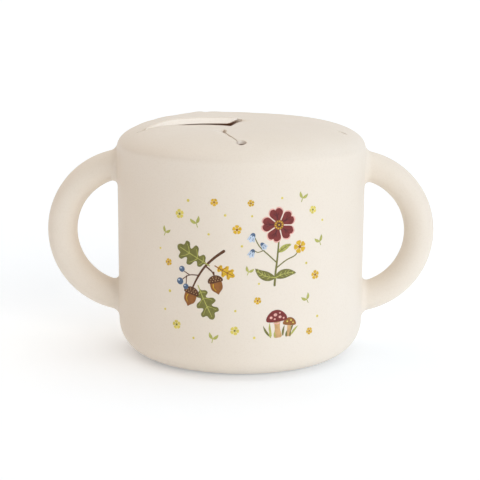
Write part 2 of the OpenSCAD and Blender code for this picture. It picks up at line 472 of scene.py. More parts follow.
def flap_part(a, edge_lo, edge_hi, rise, soft_lo, soft_hi):
    lo, hi = make_edge(edge_lo), make_edge(edge_hi)
    lifted = rise is rise_rear_left
    tip = list(np.linspace(0.22, 3.0, 9))
    if lifted:
        tip = [TIP_C - TIP_C * S36 * math.cos(q) for q in np.radians([6, 12, 18, 25, 32, 39, 46, 54])] + [2.75, 3.1]
    fine = {234.0: (16.0, 26.5), 306.0: (9.0, 19.0)}.get(a, (0, 0))       # closer where the front slit turns
    along = [3.5]
    while along[-1] < 26.4:
        along.append(along[-1] + (0.3 if fine[0] < along[-1] < fine[1] else 0.55))
    xs = tip + along + [27.0, 27.06, 27.1, 27.15, 27.22, 27.3, 27.38, 27.46, 27.6, 27.8, 28.05, 28.3, 28.5, 28.72, 28.95, 29.2, 29.45, 29.7, JOIN_AT]
    xs = np.array(xs)
    ca, sa = math.cos(math.radians(a)), math.sin(math.radians(a))
    rows = []
    for x in xs:
        bl, bh = float(lo(x)), float(hi(x))
        if x == JOIN_AT:
            bl = bh = JOIN_Y
        # the front face of the lifted flap leans back, so its top ends short of its underside
        lean = 0.3 * float(smoothstep(1.5, 9, BEND_AT - x)) * min(1.0, bh / 2.5) if lifted else 0.0
        y_under = np.concatenate([-across(bl)[:0:-1], across(bh)])
        y = np.concatenate([-across(bl)[:0:-1], across(bh - lean)])
        b = np.where(y < 0, bl, bh)
        e = 0.05
        sl = (float(edge_lo(x + e)) - float(edge_lo(x - e))) / (2 * e)
        sh = (float(edge_hi(x + e)) - float(edge_hi(x - e))) / (2 * e)

        def far(y, lean=0.0):
            """Distances from the slit below, the slit above, and the relief holes."""
            return (np.maximum((float(edge_lo(x)) + y) / math.hypot(1, sl), 0), np.maximum((float(edge_hi(x)) - lean - y) / math.hypot(1, sh), 0),
                    np.maximum(hole_dist(x, y), 0) if x > 25.5 else np.full_like(y, 9.0))

        up = rise(np.full_like(y, x), y, b) + swell(x * ca - y * sa, x * sa + y * ca)
        d_lo, d_hi, d_hole = far(y, lean)
        front = y > 0 if a == 234.0 else y < 0 if a == 306.0 else y > 99      # beside the relief hole at the front
        rim = EDGE + np.where(front, 0.2, 0.7) * float(1 - smoothstep(28.8, JOIN_AT, x))
        zt = lid_top(np.hypot(x, y)) - np.maximum(np.maximum(edge_drop(d_lo, soft_lo), edge_drop(d_hi, soft_hi)), edge_drop(d_hole, rim)) + up
        up = rise(np.full_like(y_under, x), y_under, b) + swell(x * ca - y_under * sa, x * sa + y_under * ca)
        d_lo, d_hi, d_hole = far(y_under)
        thin = 0.9 * front * (1 - smoothstep(0.0, 1.6, d_hole)) * (1 - float(smoothstep(28.8, JOIN_AT, x)))
        if lifted:
            thin = thin + 1.25 * (1 - float(smoothstep(1.3, 4.2, x)))
        zu = lid_under(np.hypot(x, y_under)) + edge_drop(np.minimum(np.minimum(d_lo, d_hi), d_hole), 0.08) + thin + up
        pts = [(x, yy, zz) for yy, zz in zip(y, zt)]
        pts += [(x, y[-1] + (y_under[-1] - y[-1]) * w, zt[-1] + (zu[-1] - zt[-1]) * w) for w in WALL_STEPS]
        pts += [(x, yy, zz) for yy, zz in zip(y_under[::-1], zu[::-1])]
        pts += [(x, y[0], zu[0] + (zt[0] - zu[0]) * w) for w in [1 - w for w in WALL_STEPS[::-1]]]
        rows.append(pts)
    m = len(rows[0])
    nt = len(across(1.0)) * 2 - 1
    nw = len(WALL_STEPS)
    verts = np.array([(x * ca - y * sa, x * sa + y * ca, z) for row in rows for x, y, z in row])
    faces, closing, cut = [], [], []
    for i in range(len(rows) - 1):
        for j in range(m):
            j1 = (j + 1) % m
            faces.append([i * m + j, (i + 1) * m + j, (i + 1) * m + j1, i * m + j1])
            closing.append(False)
            # faces on the cut edges, which take the paler material: a painted highlight
            cut.append(nt - 1 <= j < nt + nw or j >= 2 * nt + nw - 1)
    for i, out in ((0, False), (len(rows) - 1, True)):
        top = [i * m + j for j in range(nt)]
        wall_hi = [i * m + nt + k for k in range(nw)]
        bot = [i * m + nt + nw + k for k in range(nt)][::-1]
        wall_lo = [i * m + 2 * nt + nw + k for k in range(nw)]
        for j in range(nt - 1):
            if j == 0:
                f = [top[0], top[1], bot[1], bot[0]] + wall_lo
            elif j == nt - 2:
                f = [top[j], top[j + 1]] + wall_hi + [bot[j + 1], bot[j]]
            else:
                f = [top[j], top[j + 1], bot[j + 1], bot[j]]
            faces.append(f[::-1] if out else f)
            closing.append(True)
            cut.append(False)
    return verts, faces, closing, cut


def hole_steps(rho, tau):
    """Radial steps from a point near a relief hole's rim, at growing distances from the rim."""
    d0 = math.hypot(rho, tau) - HOLE_R
    return np.array([math.sqrt((HOLE_R + d0 + d) ** 2 - tau ** 2) - rho for d in (0.0, 0.03, 0.075, 0.13, 0.21)])


def ring_part():
    ys = across(JOIN_Y)
    half = [(math.degrees(math.atan2(y, JOIN_AT)), math.hypot(y, JOIN_AT), y) for y in ys]
    dx, dy = JOIN_AT - BEND_AT, JOIN_Y - HALF_LEN
    rho_j, tau_j = dx * C36 + dy * S36, abs(-dx * S36 + dy * C36)
    corner = hole_steps(rho_j, tau_j)
    alpha_j = math.atan2(tau_j, rho_j)
    hole = []
    for q in np.linspace(alpha_j, 0, 13)[1:]:
        x, y = HOLE_AT + HOLE_R * math.cos(q), HOLE_R * math.sin(q)
        hole.append((36 - math.degrees(math.atan2(y, x)), math.hypot(x, y), q))
    cols = []
    for a, r, y in half:
        cols.append((a, r, "join", y))
    for a, r, q in hole:
        cols.append((a, r, "hole", q))
    cols = [(-a, r, k, v) for a, r, k, v in cols[:0:-1]] + cols
    cols = cols[:-1]
    loops, kinds = [], []
    r_b = 38.7
    for n in range(5):
        mid = 18.0 + 72.0 * n
        for a, r_in, kind, v in cols:
            ca, sa = math.cos(math.radians(a)), math.sin(math.radians(a))
            if kind == "hole":
                off = hole_steps(HOLE_R * math.cos(v), HOLE_R * math.sin(v))
            else:
                near = 1 - float(smoothstep(0.0, 2.5, JOIN_Y - v))
                off = corner * near + np.array([0, 0.35, 0.7, 1.05, 1.4]) * (1 - near)
            start = r_in + off[-1]
            r_row = np.concatenate([r_in + off, start + (r_b - start) * np.array([0.1, 0.24, 0.4, 0.56, 0.71, 0.86, 1.0])])
            d = np.maximum(hole_dist(r_row * ca, r_row * sa), 0)
            up = np.radians(mid + a)
            pts = list(zip(r_row, lid_top(r_row) - edge_drop(d) + swell(r_row * math.cos(up), r_row * math.sin(up))))
            zsh = float(lid_top(r_b))
            for t in (0.12, 0.24, 0.36, 0.48, 0.6, 0.7, 0.79, 0.87, 0.94, 1.0):
                z = zsh + (PART_Z + SEAM - zsh) * t
                pts.append((float(shoulder_r(z)), z))
            ro = float(shoulder_r(PART_Z))
            pts += arc(ro - SEAM, PART_Z + SEAM, SEAM, -30, -90, 3)
            pts += [(41.0, PART_Z), (39.6, PART_Z)] + arc(PLUG_R + 0.35, PART_Z - 0.35, 0.35, 90, 180, 4)
            for rz in (PART_Z - 6.8 * 0.26, PART_Z - 6.8 * 0.62):
                pts += [(PLUG_R, rz + 0.8), (PLUG_R + 0.05, rz + 0.6), (PLUG_R + 0.2, rz + 0.38), (PLUG_R + 0.32, rz + 0.18), (PLUG_R + 0.35, rz),
                        (PLUG_R + 0.32, rz - 0.18), (PLUG_R + 0.2, rz - 0.38), (PLUG_R + 0.05, rz - 0.6), (PLUG_R, rz - 0.8)]
            pts += arc(PLUG_R - 0.8, PLUG_Z + 0.8, 0.8, 0, -90, 6) + arc(PLUG_IN + 0.8, PLUG_Z + 0.8, 0.8, -90, -180, 6)
            # up the plug's inner face and in under the lid, or out over the ledge at a relief hole
            corner_z = float(lid_top(R_C)) - LID_T - 2.0
            if r_in >= PLUG_IN:
                path = [(PLUG_IN, 70.2), (PLUG_IN, PART_Z - 1.0), (r_in, PART_Z - 1.0)]
            else:
                stop = max(r_in, R_C)
                turn = [(x, float(lid_under(x))) for x in R_C + 2.0 * np.sqrt(np.linspace(1, ((stop - R_C) / 2.0) ** 2, 9))]
                path = [(PLUG_IN, 70.2), (PLUG_IN, corner_z)] + turn[1:]
                if r_in < R_C:
                    path += [(x, float(lid_under(x))) for x in np.linspace(R_C, r_in, 8)[1:]]
            path = np.array(path)
            seg = np.append(0, np.cumsum(np.hypot(*np.diff(path, axis=0).T)))
            at = np.linspace(0, seg[-1], 16)
            under = list(zip(np.interp(at, seg, path[:, 0]), np.interp(at, seg, path[:, 1])))
            rise_edge = float(edge_drop(max(float(hole_dist(r_in * ca, r_in * sa)), 0), 0.08)) if r_in < PLUG_IN else 0.0
            under[-1] = (under[-1][0], under[-1][1] + rise_edge)
            if r_in < R_C + 2.0:
                under = [(x, z + float(swell(x * math.cos(up), x * math.sin(up))) * (1.0 - float(smoothstep(r_in, r_in + 2.0, x)) if x > r_in + 1e-9 else 1.0)) for x, z in under]
            pts += under
            zt, zu = pts[0][1], under[-1][1]
            pts += [(r_in, zu + (zt - zu) * w) for w in [1 - w for w in WALL_STEPS[::-1]]]
            loops.append((mid + a, pts))
            kinds.append(kind == "join" and v < JOIN_Y - 1e-9)
    m, n = len(loops[0][1]), len(loops)
    verts = np.array([(r * math.cos(math.radians(a)), r * math.sin(math.radians(a)), z) for a, pts in loops for r, z in pts])
    faces, closing, cut = [], [], []
    first_wall = m - len(WALL_STEPS) - 1
    for i in range(n):
        i1 = (i + 1) % n
        hidden = kinds[i] or kinds[i1]
        for j in range(m):
            j1 = (j + 1) % m
            faces.append([i * m + j, i * m + j1, i1 * m + j1, i1 * m + j])
            closing.append(hidden and j >= first_wall)
            # the hole walls take the paler material, a painted highlight; below the lid's underside a relief hole is a
            # moulded groove in the plug and keeps the plain one
            cut.append(j >= first_wall and verts[[i * m + j, i * m + j1, i1 * m + j, i1 * m + j1], 2].min() > 75.0)
    return verts, faces, closing, cut


def build_lid():
    parts = {"lid_shell": ring_part()}
    for name, args in FLAPS.items():
        parts[name + "_skin"] = flap_part(*args)
    parts = {name: (pinch(v), f, c, cut) for name, (v, f, c, cut) in parts.items()}
    everything = np.vstack([p[0] for p in parts.values()])
    _, group = np.unique(np.round(everything, 3), axis=0, return_inverse=True)
    group = group.ravel()
    faces, skip, base = [], [], 0
    for v, f, c, _ in parts.values():
        faces += [[i + base for i in q] for q in f]
        skip += c
        base += len(v)
    vn, fn = vertex_normals(everything, faces, skip, group)
    objects, base, fi = {}, 0, 0
    for name, (v, f, c, cut) in parts.items():
        ob = new_mesh(name, v, f)
        # cut faces take the second, paler material: a painted highlight
        ob.data.polygons.foreach_set("material_index", [int(k) for k in cut])
        loops = []
        for k, q in enumerate(f):
            if c[k]:
                loops += [tuple(fn[fi + k])] * len(q)
            else:
                loops += [tuple(vn[base + i]) for i in q]
        ob.data.normals_split_custom_set(loops)
        objects[name] = ob
        base += len(v)
        fi += len(f)
    return objects


# ---------------------------------------------------------------------------------------------
# The print on the front: woodland sprigs and small blossoms. Outlines in millimetres, u to the
# right along the wall and v up; later shapes lie over earlier ones.
# ---------------------------------------------------------------------------------------------
INKS = {                      # sRGB
    "maroon": (122, 40, 38), "wine": (88, 26, 30), "pink": (233, 178, 166), "brown": (146, 92, 40), "bark": (92, 56, 30),
    "olive": (118, 116, 56), "lime": (178, 178, 92), "sky": (196, 210, 228), "slate": (82, 104, 132), "gold": (216, 174, 36),
    "straw": (222, 206, 96), "tan": (204, 164, 112),
}


def spline(points, closed, n=7):
    """Points along a Catmull-Rom curve through the given ones."""
    p = np.array(points, float)
    k = len(p)
    out = []
    for i in range(k if closed else k - 1):
        a, b = (p[(i - 1) % k], p[(i + 2) % k]) if closed else (p[max(i - 1, 0)], p[min(i + 2, k - 1)])
        c, d = p[i], p[(i + 1) % k]
        for t in np.arange(n) / n:
            out.append(0.5 * (2 * c + (d - a) * t + (2 * a - 5 * c + 4 * d - b) * t * t + (3 * c - a - 3 * d + b) * t ** 3))
    if not closed:
        out.append(p[-1])
    return np.array(out)


def place(outline, at=(0, 0), turn=0.0, scale=1.0, flip=False):
    q = np.array(outline, float) * scale
    if flip:
        q[:, 0] = -q[:, 0]
    c, s = math.cos(math.radians(turn)), math.sin(math.radians(turn))
    return q @ np.array([[c, s], [-s, c]]) + np.array(at, float)


def disc(at, r, n=18, squash=1.0, turn=0.0):
    a = np.arange(n) * 2 * math.pi / n
    return place(np.stack([r * np.cos(a), r * squash * np.sin(a)], 1), at, turn)


def stroke(points, w0, w1=None, belly=None):
    """A drawn line with round ends, from width w0 to w1, and belly wide in the middle."""
    w1 = w0 if w1 is None else w1
    c = spline(points, False, 6)
    t = np.linspace(0, 1, len(c))
    w = (w0 + (w1 - w0) * t) / 2
    if belly is not None:
        w = w + (belly / 2 - (w0 + w1) / 4) * np.sin(math.pi * t)
    d = np.gradient(c, axis=0)
    d /= np.linalg.norm(d, axis=1)[:, None]
    nrm = np.stack([-d[:, 1], d[:, 0]], 1)
    cap1 = [c[-1] + w[-1] * (math.cos(a) * nrm[-1] + math.sin(a) * d[-1]) for a in np.radians([30, 60, 90, 120, 150])]
    cap0 = [c[0] + w[0] * (-math.cos(a) * nrm[0] - math.sin(a) * d[0]) for a in np.radians([30, 60, 90, 120, 150])]
    return np.vstack([c + w[:, None] * nrm, cap1, (c - w[:, None] * nrm)[::-1], cap0])


def leaf(base, tip, width, bend=0.0, full=0.42):
    """A pointed leaf from base to tip; full is where it is widest. Returns outline and midrib."""
    b, t = np.array(base, float), np.array(tip, float)
    d = t - b
    side = np.array([-d[1], d[0]])
    s = np.linspace(0, 1, 15)
    mid = b + s[:, None] * d + (bend * 4 * s * (1 - s))[:, None] * side
    k = math.log(0.5) / math.log(full)
    w = 0.5 * width * np.sin(math.pi * s ** k) ** 0.85
    tang = np.gradient(mid, axis=0)
    tang /= np.linalg.norm(tang, axis=1)[:, None]
    nrm = np.stack([-tang[:, 1], tang[:, 0]], 1)
    left, right = mid + w[:, None] * nrm, mid - w[:, None] * nrm
    return np.vstack([left, right[-2:0:-1]]), mid, nrm, w


def leaf_shapes(body, rib, base, tip, width, bend=0.0, veins=4, line=0.26):
    outline, mid, nrm, w = leaf(base, tip, width, bend)
    shapes = [(body, outline), (rib, stroke(mid[0:13:3], line * 1.15, line * 0.7))]
    for i in range(veins):
        k = 3 + int(round(i * 8 / max(veins - 1, 1)))
        ahead = mid[min(k + 2, 14)] - mid[k]
        for sgn in (1, -1):
            end = mid[k] + ahead * 0.9 + sgn * nrm[k] * w[k] * 0.62
            shapes.append((rib, stroke([mid[k], (mid[k] + end) / 2 + 0.05 * sgn * nrm[k], end], line * 0.8, line * 0.45)))
    return shapes


def petal(at, turn, inner, outer, width, notch=0.0):
    """A petal that points up before it is turned."""
    w = width / 2
    return place(spline([(0, inner), (w * 0.55, inner + (outer - inner) * 0.3), (w, inner + (outer - inner) * 0.66), (w * 0.72, outer * 0.96), (w * 0.26, outer),
                         (0, outer - notch), (-w * 0.26, outer), (-w * 0.72, outer * 0.96), (-w, inner + (outer - inner) * 0.66), (-w * 0.55, inner + (outer - inner) * 0.3)],
                        True, 4), at, turn)


def blossom(at, r, turn=0.0, ink="gold", eye="brown", petals=5):
    """A small open flower."""
    at = np.array(at, float)
    out = [(ink, petal(at, turn + 360 * k / petals, r * 0.16, r, r * 0.86)) for k in range(petals)]
    return out + [(eye, disc(at, r * 0.24, 12))]


def bell(at, turn, size):
    """A closed bell bud that hangs down before it is turned."""
    k = size
    body = spline([(0, 0.1 * k), (0.3 * k, -0.05 * k), (0.42 * k, -0.5 * k), (0.5 * k, -0.95 * k), (0.28 * k, -0.86 * k), (0, -1.12 * k), (-0.28 * k, -0.86 * k),
                   (-0.5 * k, -0.95 * k), (-0.42 * k, -0.5 * k), (-0.3 * k, -0.05 * k)], True, 4)
    cap = spline([(0, 0.2 * k), (0.26 * k, 0.04 * k), (0.3 * k, -0.3 * k), (0.12 * k, -0.16 * k), (0, -0.36 * k), (-0.12 * k, -0.16 * k), (-0.3 * k, -0.3 * k), (-0.26 * k, 0.04 * k)], True, 4)
    return [("sky", place(body, at, turn)), ("slate", place(cap, at, turn)),
            ("slate", place(stroke([(0.17 * k, -0.45 * k), (0.22 * k, -0.78 * k)], 0.16), at, turn)),
            ("slate", place(stroke([(-0.17 * k, -0.45 * k), (-0.22 * k, -0.78 * k)], 0.16), at, turn))]


def wildflower():
    """A tall spray with one large flower, about 17 by 26 mm."""
    s = [("olive", stroke([(-2.4, -13.0), (-1.7, -9.0), (-0.6, -4.0), (0.5, 2.0)], 0.75, 0.5)),
         ("olive", stroke([(-1.0, -5.6), (-3.4, -2.8), (-6.2, 0.6), (-7.6, 4.4)], 0.42, 0.3)),
         ("olive", stroke([(-4.8, -1.0), (-6.8, -1.4), (-8.0, -0.6)], 0.3, 0.24)),
         ("olive", stroke([(-1.3, -7.4), (2.2, -5.4), (5.6, -4.3), (7.2, -2.4)], 0.42, 0.3))]
    s += leaf_shapes("olive", "lime", (-1.9, -10.4), (-8.2, -6.6), 3.1, 0.12)
    s += leaf_shapes("olive", "lime", (-2.0, -10.6), (5.4, -10.2), 3.0, 0.10)
    s += leaf_shapes("lime", "olive", (0.0, -2.4), (4.6, -0.4), 1.9, 0.06, 3, 0.2)
    s += bell((-7.7, 4.6), -28, 2.5) + bell((-8.3, -0.6), -30, 2.3) + bell((-5.3, 1.2), 34, 2.1)
    s += blossom((7.5, -1.8), 2.1, 12)
    at = np.array((0.9, 6.6))
    for k in range(5):
        a = 8 + 72 * k
        s.append(("pink", petal(at, a, 0.7, 5.75, 5.1, 0.5)))
    for k in range(5):
        a = 8 + 72 * k
        s.append(("maroon", petal(at, a, 0.7, 5.35, 4.55, 0.45)))
        for b in (-17, 0, 17):
            v = stroke([(0, 1.7), (b * 0.012, 3.0), (b * 0.05, 4.3 - abs(b) * 0.02)], 0.3, 0.16)
            s.append(("wine", place(v, at, a)))
    s.append(("brown", disc(at, 1.65, 22)))
    s.append(("bark", disc(at, 0.75, 14)))
    for k in range(10):
        q = math.radians(36 * k)
        s.append(("gold", disc(at + 1.2 * np.array([math.cos(q), math.sin(q)]), 0.24, 9)))
    s.append(("gold", disc(at, 0.28, 9)))
    return s


def oak_leaf(at, turn, size, body="olive", rib="lime"):
    k = size / 12.0
    half = [(0, -6.0), (0.55, -5.2), (1.9, -4.7), (2.3, -3.6), (1.1, -2.7), (1.5, -1.9), (3.3, -1.2), (3.7, 0.2), (1.9, 0.9), (2.1, 1.7), (3.4, 2.6), (3.2, 3.9),
            (1.6, 4.0), (1.1, 5.3), (0, 6.0)]
    outline = spline([(x * k, y * k) for x, y in half] + [(-x * k, y * k) for x, y in half[-2:0:-1]], True, 3)
    shapes = [(body, place(outline, at, turn)), (rib, place(stroke([(0, -7.2 * k), (0.12 * k, -2.0 * k), (0, 4.9 * k)], 0.36, 0.2), at, turn))]
    for y0, x1, y1 in ((-4.6, 1.5, -3.9), (-2.4, 2.7, -0.5), (0.9, 2.5, 3.1)):
        for sgn in (1, -1):
            shapes.append((rib, place(stroke([(0, y0 * k), (sgn * x1 * 0.55 * k, (y0 + y1) * 0.5 * k - 0.1 * k), (sgn * x1 * k, y1 * k)], 0.24, 0.14), at, turn)))
    return shapes


def acorn(at, turn, size):
    """An acorn that hangs down before it is turned."""
    k = size
    nut = spline([(0, -1.0 * k), (0.14 * k, -0.86 * k), (0.42 * k, -0.58 * k), (0.47 * k, -0.15 * k), (0.36 * k, 0.1 * k), (-0.36 * k, 0.1 * k), (-0.47 * k, -0.15 * k),
                  (-0.42 * k, -0.58 * k), (-0.14 * k, -0.86 * k)], True, 4)
    cap = spline([(-0.58 * k, 0.0), (-0.52 * k, 0.26 * k), (-0.2 * k, 0.47 * k), (0.2 * k, 0.47 * k), (0.52 * k, 0.26 * k), (0.58 * k, 0.0), (0.3 * k, -0.07 * k), (-0.3 * k, -0.07 * k)], True, 4)
    s = [("brown", place(nut, at, turn)), ("gold", place(stroke([(-0.22 * k, -0.16 * k), (-0.26 * k, -0.42 * k), (-0.12 * k, -0.68 * k)], 0.3, 0.16), at, turn)),
         ("bark", place(stroke([(0, 0.4 * k), (0.05 * k, 0.75 * k)], 0.36), at, turn)), ("bark", place(cap, at, turn))]
    for row, (y, xs) in enumerate(((0.08, (-0.42, -0.21, 0, 0.21, 0.42)), (0.23, (-0.31, -0.1, 0.1, 0.31)), (0.36, (-0.14, 0.14)))):
        s += [("tan", place(disc((x * k, y * k), 0.15, 8), at, turn)) for x in xs]
    return s


def acorn_sprig():
    """A hanging oak twig, about 17 by 23 mm."""
    s = [("bark", stroke([(7.4, 11.2), (4.2, 8.8), (1.0, 5.6), (-1.6, 1.6), (-3.4, -2.2)], 0.95, 0.5)),
         ("bark", stroke([(1.4, 6.0), (3.6, 4.2), (4.6, 2.0)], 0.5, 0.36)),
         ("bark", stroke([(-0.9, 2.8), (-4.2, 2.6), (-7.0, 0.8)], 0.36, 0.26)),
         ("bark", stroke([(-4.2, 2.7), (-6.4, 3.9)], 0.3, 0.24)),
         ("bark", stroke([(-5.2, 2.3), (-5.4, -0.6)], 0.3, 0.24))]
    s += oak_leaf((-3.4, 9.4), 62, 11.5)
    s += oak_leaf((1.6, -6.6), 205, 11.0)
    s += oak_leaf((8.0, 4.4), -118, 6.6, "gold", "brown")
    s += acorn((4.7, 1.0), 14, 4.3) + acorn((-3.6, -3.4), -16, 4.5)
    for x, y, r in ((-7.6, 0.3, 1.15), (-6.9, 4.4, 1.0), (-5.5, -1.3, 0.95)):
        s += [("slate", disc((x, y), r, 16)), ("sky", disc((x - 0.34 * r, y + 0.34 * r), 0.27 * r, 9))]
    return s


def toadstools():
    """Two toadstools in grass, about 11 by 10 mm."""
    def cap(k):
        return spline([(-1.0 * k, 0.0), (-0.93 * k, 0.42 * k), (-0.5 * k, 0.86 * k), (0, 1.0 * k), (0.5 * k, 0.86 * k), (0.93 * k, 0.42 * k), (1.0 * k, 0.0), (0.55 * k, -0.14 * k), (-0.55 * k, -0.14 * k)], True, 4)

    def stalk(k, h):
        return spline([(-0.26 * k, 0.05), (0.26 * k, 0.05), (0.27 * k, -0.5 * h), (0.42 * k, -0.93 * h), (0, -h), (-0.42 * k, -0.93 * h), (-0.27 * k, -0.5 * h)], True, 4)

    s = []
    for x0, x1, y1, ink in ((-4.6, -6.0, 2.4, "olive"), (-3.9, -3.8, 3.4, "lime"), (3.6, 4.9, 3.0, "olive"), (4.4, 6.2, 1.6, "lime"), (0.9, 1.3, 2.2, "olive")):
        s.append((ink, leaf((x0 * 0.8, -4.6), (x1, y1 - 3.2), 0.75, 0.06)[0]))
    s += [("tan", place(stalk(2.3, 4.2), (3.0, -0.7), -5)), ("brown", place(cap(2.3), (3.0, -0.8), -6))]
    s += [("straw", place(disc(q, r, 10), (3.0, -0.8), -6)) for q, r in (((-0.9, 0.9), 0.3), ((0.4, 1.35), 0.3), ((1.2, 0.6), 0.24))]
    s += [("tan", place(stalk(3.3, 6.0), (-1.4, 0.9), 4)), ("pink", place(stroke([(-1.1, -0.9), (0, -1.25), (1.1, -0.9)], 0.3, 0.3, 0.42), (-1.4, 0.9), 4)),
          ("maroon", place(cap(3.5), (-1.4, 0.8), 5))]
    s += [("pink", place(disc(q, r, 12, 0.86, 8), (-1.4, 0.8), 5)) for q, r in (((-1.9, 1.1), 0.48), ((-0.35, 1.9), 0.6), ((1.15, 1.0), 0.5), ((2.35, 0.5), 0.32), ((-0.7, 0.5), 0.34), ((1.2, 2.35), 0.3))]
    for x in (-3.4, -1.9, 1.9, 3.2):
        s.append(("lime" if x < 0 else "olive", leaf((x, -5.1), (x * 1.12, -2.9), 0.6, 0.05)[0]))
    return s


def leaf_pair(at, turn, size, ink="lime"):
    s = []
    for sgn in (1, -1):
        s.append((ink, place(leaf((0, 0), (sgn * size * 0.62, size * 0.8), size * 0.42, -0.12 * sgn)[0], at, turn)))
    s.append((ink, place(stroke([(0, -size * 0.55), (0, 0.05)], 0.26), at, turn)))
    return s


# what goes where on the wall: (u, height)
MOTIFS = [(wildflower, 12.2, 45.5, 1.0, 6), (acorn_sprig, -12.8, 32.5, 1.0, 0), (toadstools, 13.5, 19.8, 1.0, 0)]
BLOSSOMS = [(-20.5, 55.0, 1.5, 10), (-8.6, 59.5, 1.25, 40), (-1.2, 50.8, 1.5, 0), (24.6, 56.2, 1.3, 25), (26.0, 34.5, 1.5, 5), (-24.8, 38.6, 1.2, 20),
            (-1.8, 17.4, 1.45, 50), (24.0, 15.8, 1.2, 30), (3.2, 59.4, 1.1, 12), (-21.8, 18.0, 1.5, 8), (5.6, 27.4, 1.2, 33)]
SPRIGS = [(-14.6, 52.4, 20, 2.5), (-26.0, 48.4, -25, 2.2), (20.6, 60.4, -18, 2.3), (27.6, 45.4, 22, 2.4), (-9.0, 14.4, -12, 2.4), (22.8, 26.6, 28, 2.3), (2.6, 37.0, -22, 2.0)]
DOTS = [(-17.4, 59.6, 0.5), (-5.0, 55.4, 0.42), (-24.4, 29.0, 0.5), (0.4, 45.4, 0.42), (13.4, 60.8, 0.4), (28.6, 52.4, 0.42), (27.2, 20.4, 0.45), (4.6, 15.0, 0.45), (-15.6, 14.2, 0.42),
        (-28.2, 42.8, 0.38), (-1.6, 24.0, 0.4), (22.4, 38.8, 0.42), (-10.4, 49.0, 0.4), (6.0, 33.0, 0.36), (-26.4, 22.6, 0.4), (3.6, 55.2, 0.38)]


def print_shapes():
    """All the outlines on the wall, each with its ink and its place in the stack."""
    out = []
    for make, u, z, scale, turn in MOTIFS:
        out += [(ink, place(q, (u, z), turn, scale), i) for i, (ink, q) in enumerate(make())]
    for k, (u, z, r, turn) in enumerate(BLOSSOMS):
        out += [(ink, q, i) for i, (ink, q) in enumerate(blossom((u, z), r, turn, "gold" if k % 3 else "straw", "brown" if k % 3 else "olive"))]
    for u, z, turn, size in SPRIGS:
        out += [(ink, q, i) for i, (ink, q) in enumerate(leaf_pair((u, z), turn, size))]
    for u, z, r in DOTS:
        out.append(("straw", disc((u, z), r, 12), 0))
    return out


def inside(points, poly):
    """Which of the points are inside the polygon."""
    x, y = points[:, 0][:, None], points[:, 1][:, None]
    ax, ay = poly[:, 0][None], poly[:, 1][None]
    bx, by = np.roll(poly, -1, axis=0).T[:, None]
    cut = (ay > y) != (by > y)
    at = ax + (y - ay) * (bx - ax) / np.where(by == ay, 1, by - ay)
    return (cut & (x < at)).sum(1) % 2 == 1


def overlap(a, b):
    if (a.max(0) < b.min(0)).any() or (b.max(0) < a.min(0)).any():
        return False
    if inside(a, b).any() or inside(b, a).any():
        return True
    p, r = a[:, None], (np.roll(a, -1, axis=0) - a)[:, None]
    q, s = b[None], (np.roll(b, -1, axis=0) - b)[None]
    den = r[..., 0] * s[..., 1] - r[..., 1] * s[..., 0]
    den = np.where(np.abs(den) < 1e-12, 1e-12, den)
    d = q - p
    t = (d[..., 0] * s[..., 1] - d[..., 1] * s[..., 0]) / den
    v = (d[..., 0] * r[..., 1] - d[..., 1] * r[..., 0]) / den
    return bool(((t > 0) & (t < 1) & (v > 0) & (v < 1)).any())


PRINT_H, PRINT_STEP, PRINT_SINK = 0.03, 0.015, 0.02      # lowest ink's height, each further layer, depth in the wall
SLICE = 0.75                                             # width of a flat facet of the ink


def build_print():
    """One object for each ink, made of thin closed pieces that lie on the wall."""
    shapes, done = print_shapes(), []
    for ink, q, _ in shapes:
        layer = 0
        for other, low in done:
            if low >= layer and overlap(q, other):
                layer = low + 1
        done.append((q, layer))
    made = {}
    for (ink, _, _), (q, layer) in zip(shapes, done):
        bm = bmesh.new()
        bm.faces.new([bm.verts.new((x, y, 0)) for x, y in q])
        bm.normal_update()
        bmesh.ops.triangulate(bm, faces=bm.faces[:], ngon_method="EAR_CLIP")
        for k in range(int(math.ceil(q[:, 0].min() / SLICE)), int(q[:, 0].max() // SLICE) + 1):
            bmesh.ops.bisect_plane(bm, geom=bm.verts[:] + bm.edges[:] + bm.faces[:], dist=1e-5, plane_co=(k * SLICE, 0, 0), plane_no=(1, 0, 0))
        bm.normal_update()
        if sum(f.normal.z * f.calc_area() for f in bm.faces) < 0:
            bmesh.ops.reverse_faces(bm, faces=bm.faces[:])
        bm.verts.index_update()
        uv = np.array([v.co[:2] for v in bm.verts])
        tris = [[v.index for v in f.verts] for f in bm.faces]
        rim = [(l.vert.index, l.link_loop_next.vert.index) for f in bm.faces for l in f.loops if l.edge.is_boundary]
        bm.free()
        half = SLICE / R_TOP / 2
        phi = uv[:, 0] / R_TOP
        mid = (np.floor(uv[:, 0] / SLICE + 1e-6) + 0.5) * SLICE / R_TOP
        flat = np.cos(half) / np.cos(phi - mid)
        th = phi - math.pi / 2
        r0 = wall_r(uv[:, 1])
        verts, norms, faces, base = made.setdefault(ink, ([], [], [], [0]))
        b, n = base[0], len(uv)
        for h in (PRINT_H + PRINT_STEP * layer, -PRINT_SINK):
            r = (r0 + h) * flat
            verts += np.stack([r * np.cos(th), r * np.sin(th), uv[:, 1]], 1).tolist()
        up = [(math.cos(t), math.sin(t), 0.0) for t in th]
        for f in tris:
            faces.append([b + i for i in f])
            norms += [up[i] for i in f]
        for f in tris:
            faces.append([b + n + i for i in f[::-1]])
            norms += [tuple(-c for c in up[i]) for i in f[::-1]]
        for i, j in rim:
            faces.append([b + i, b + n + i, b + n + j, b + j])
            e = (uv[j] - uv[i]) / max(np.linalg.norm(uv[j] - uv[i]), 1e-9)
            side = (e[1] * -math.sin(th[i]), e[1] * math.cos(th[i]), -e[0])
            norms += [side] * 4
        base[0] = b + 2 * n
    objects = {}
    for ink, (verts, norms, faces, _) in made.items():
        ob = new_mesh("print_" + ink, verts, faces)
        ob.data.normals_split_custom_set(norms)
        objects[ink] = ob
    return objects


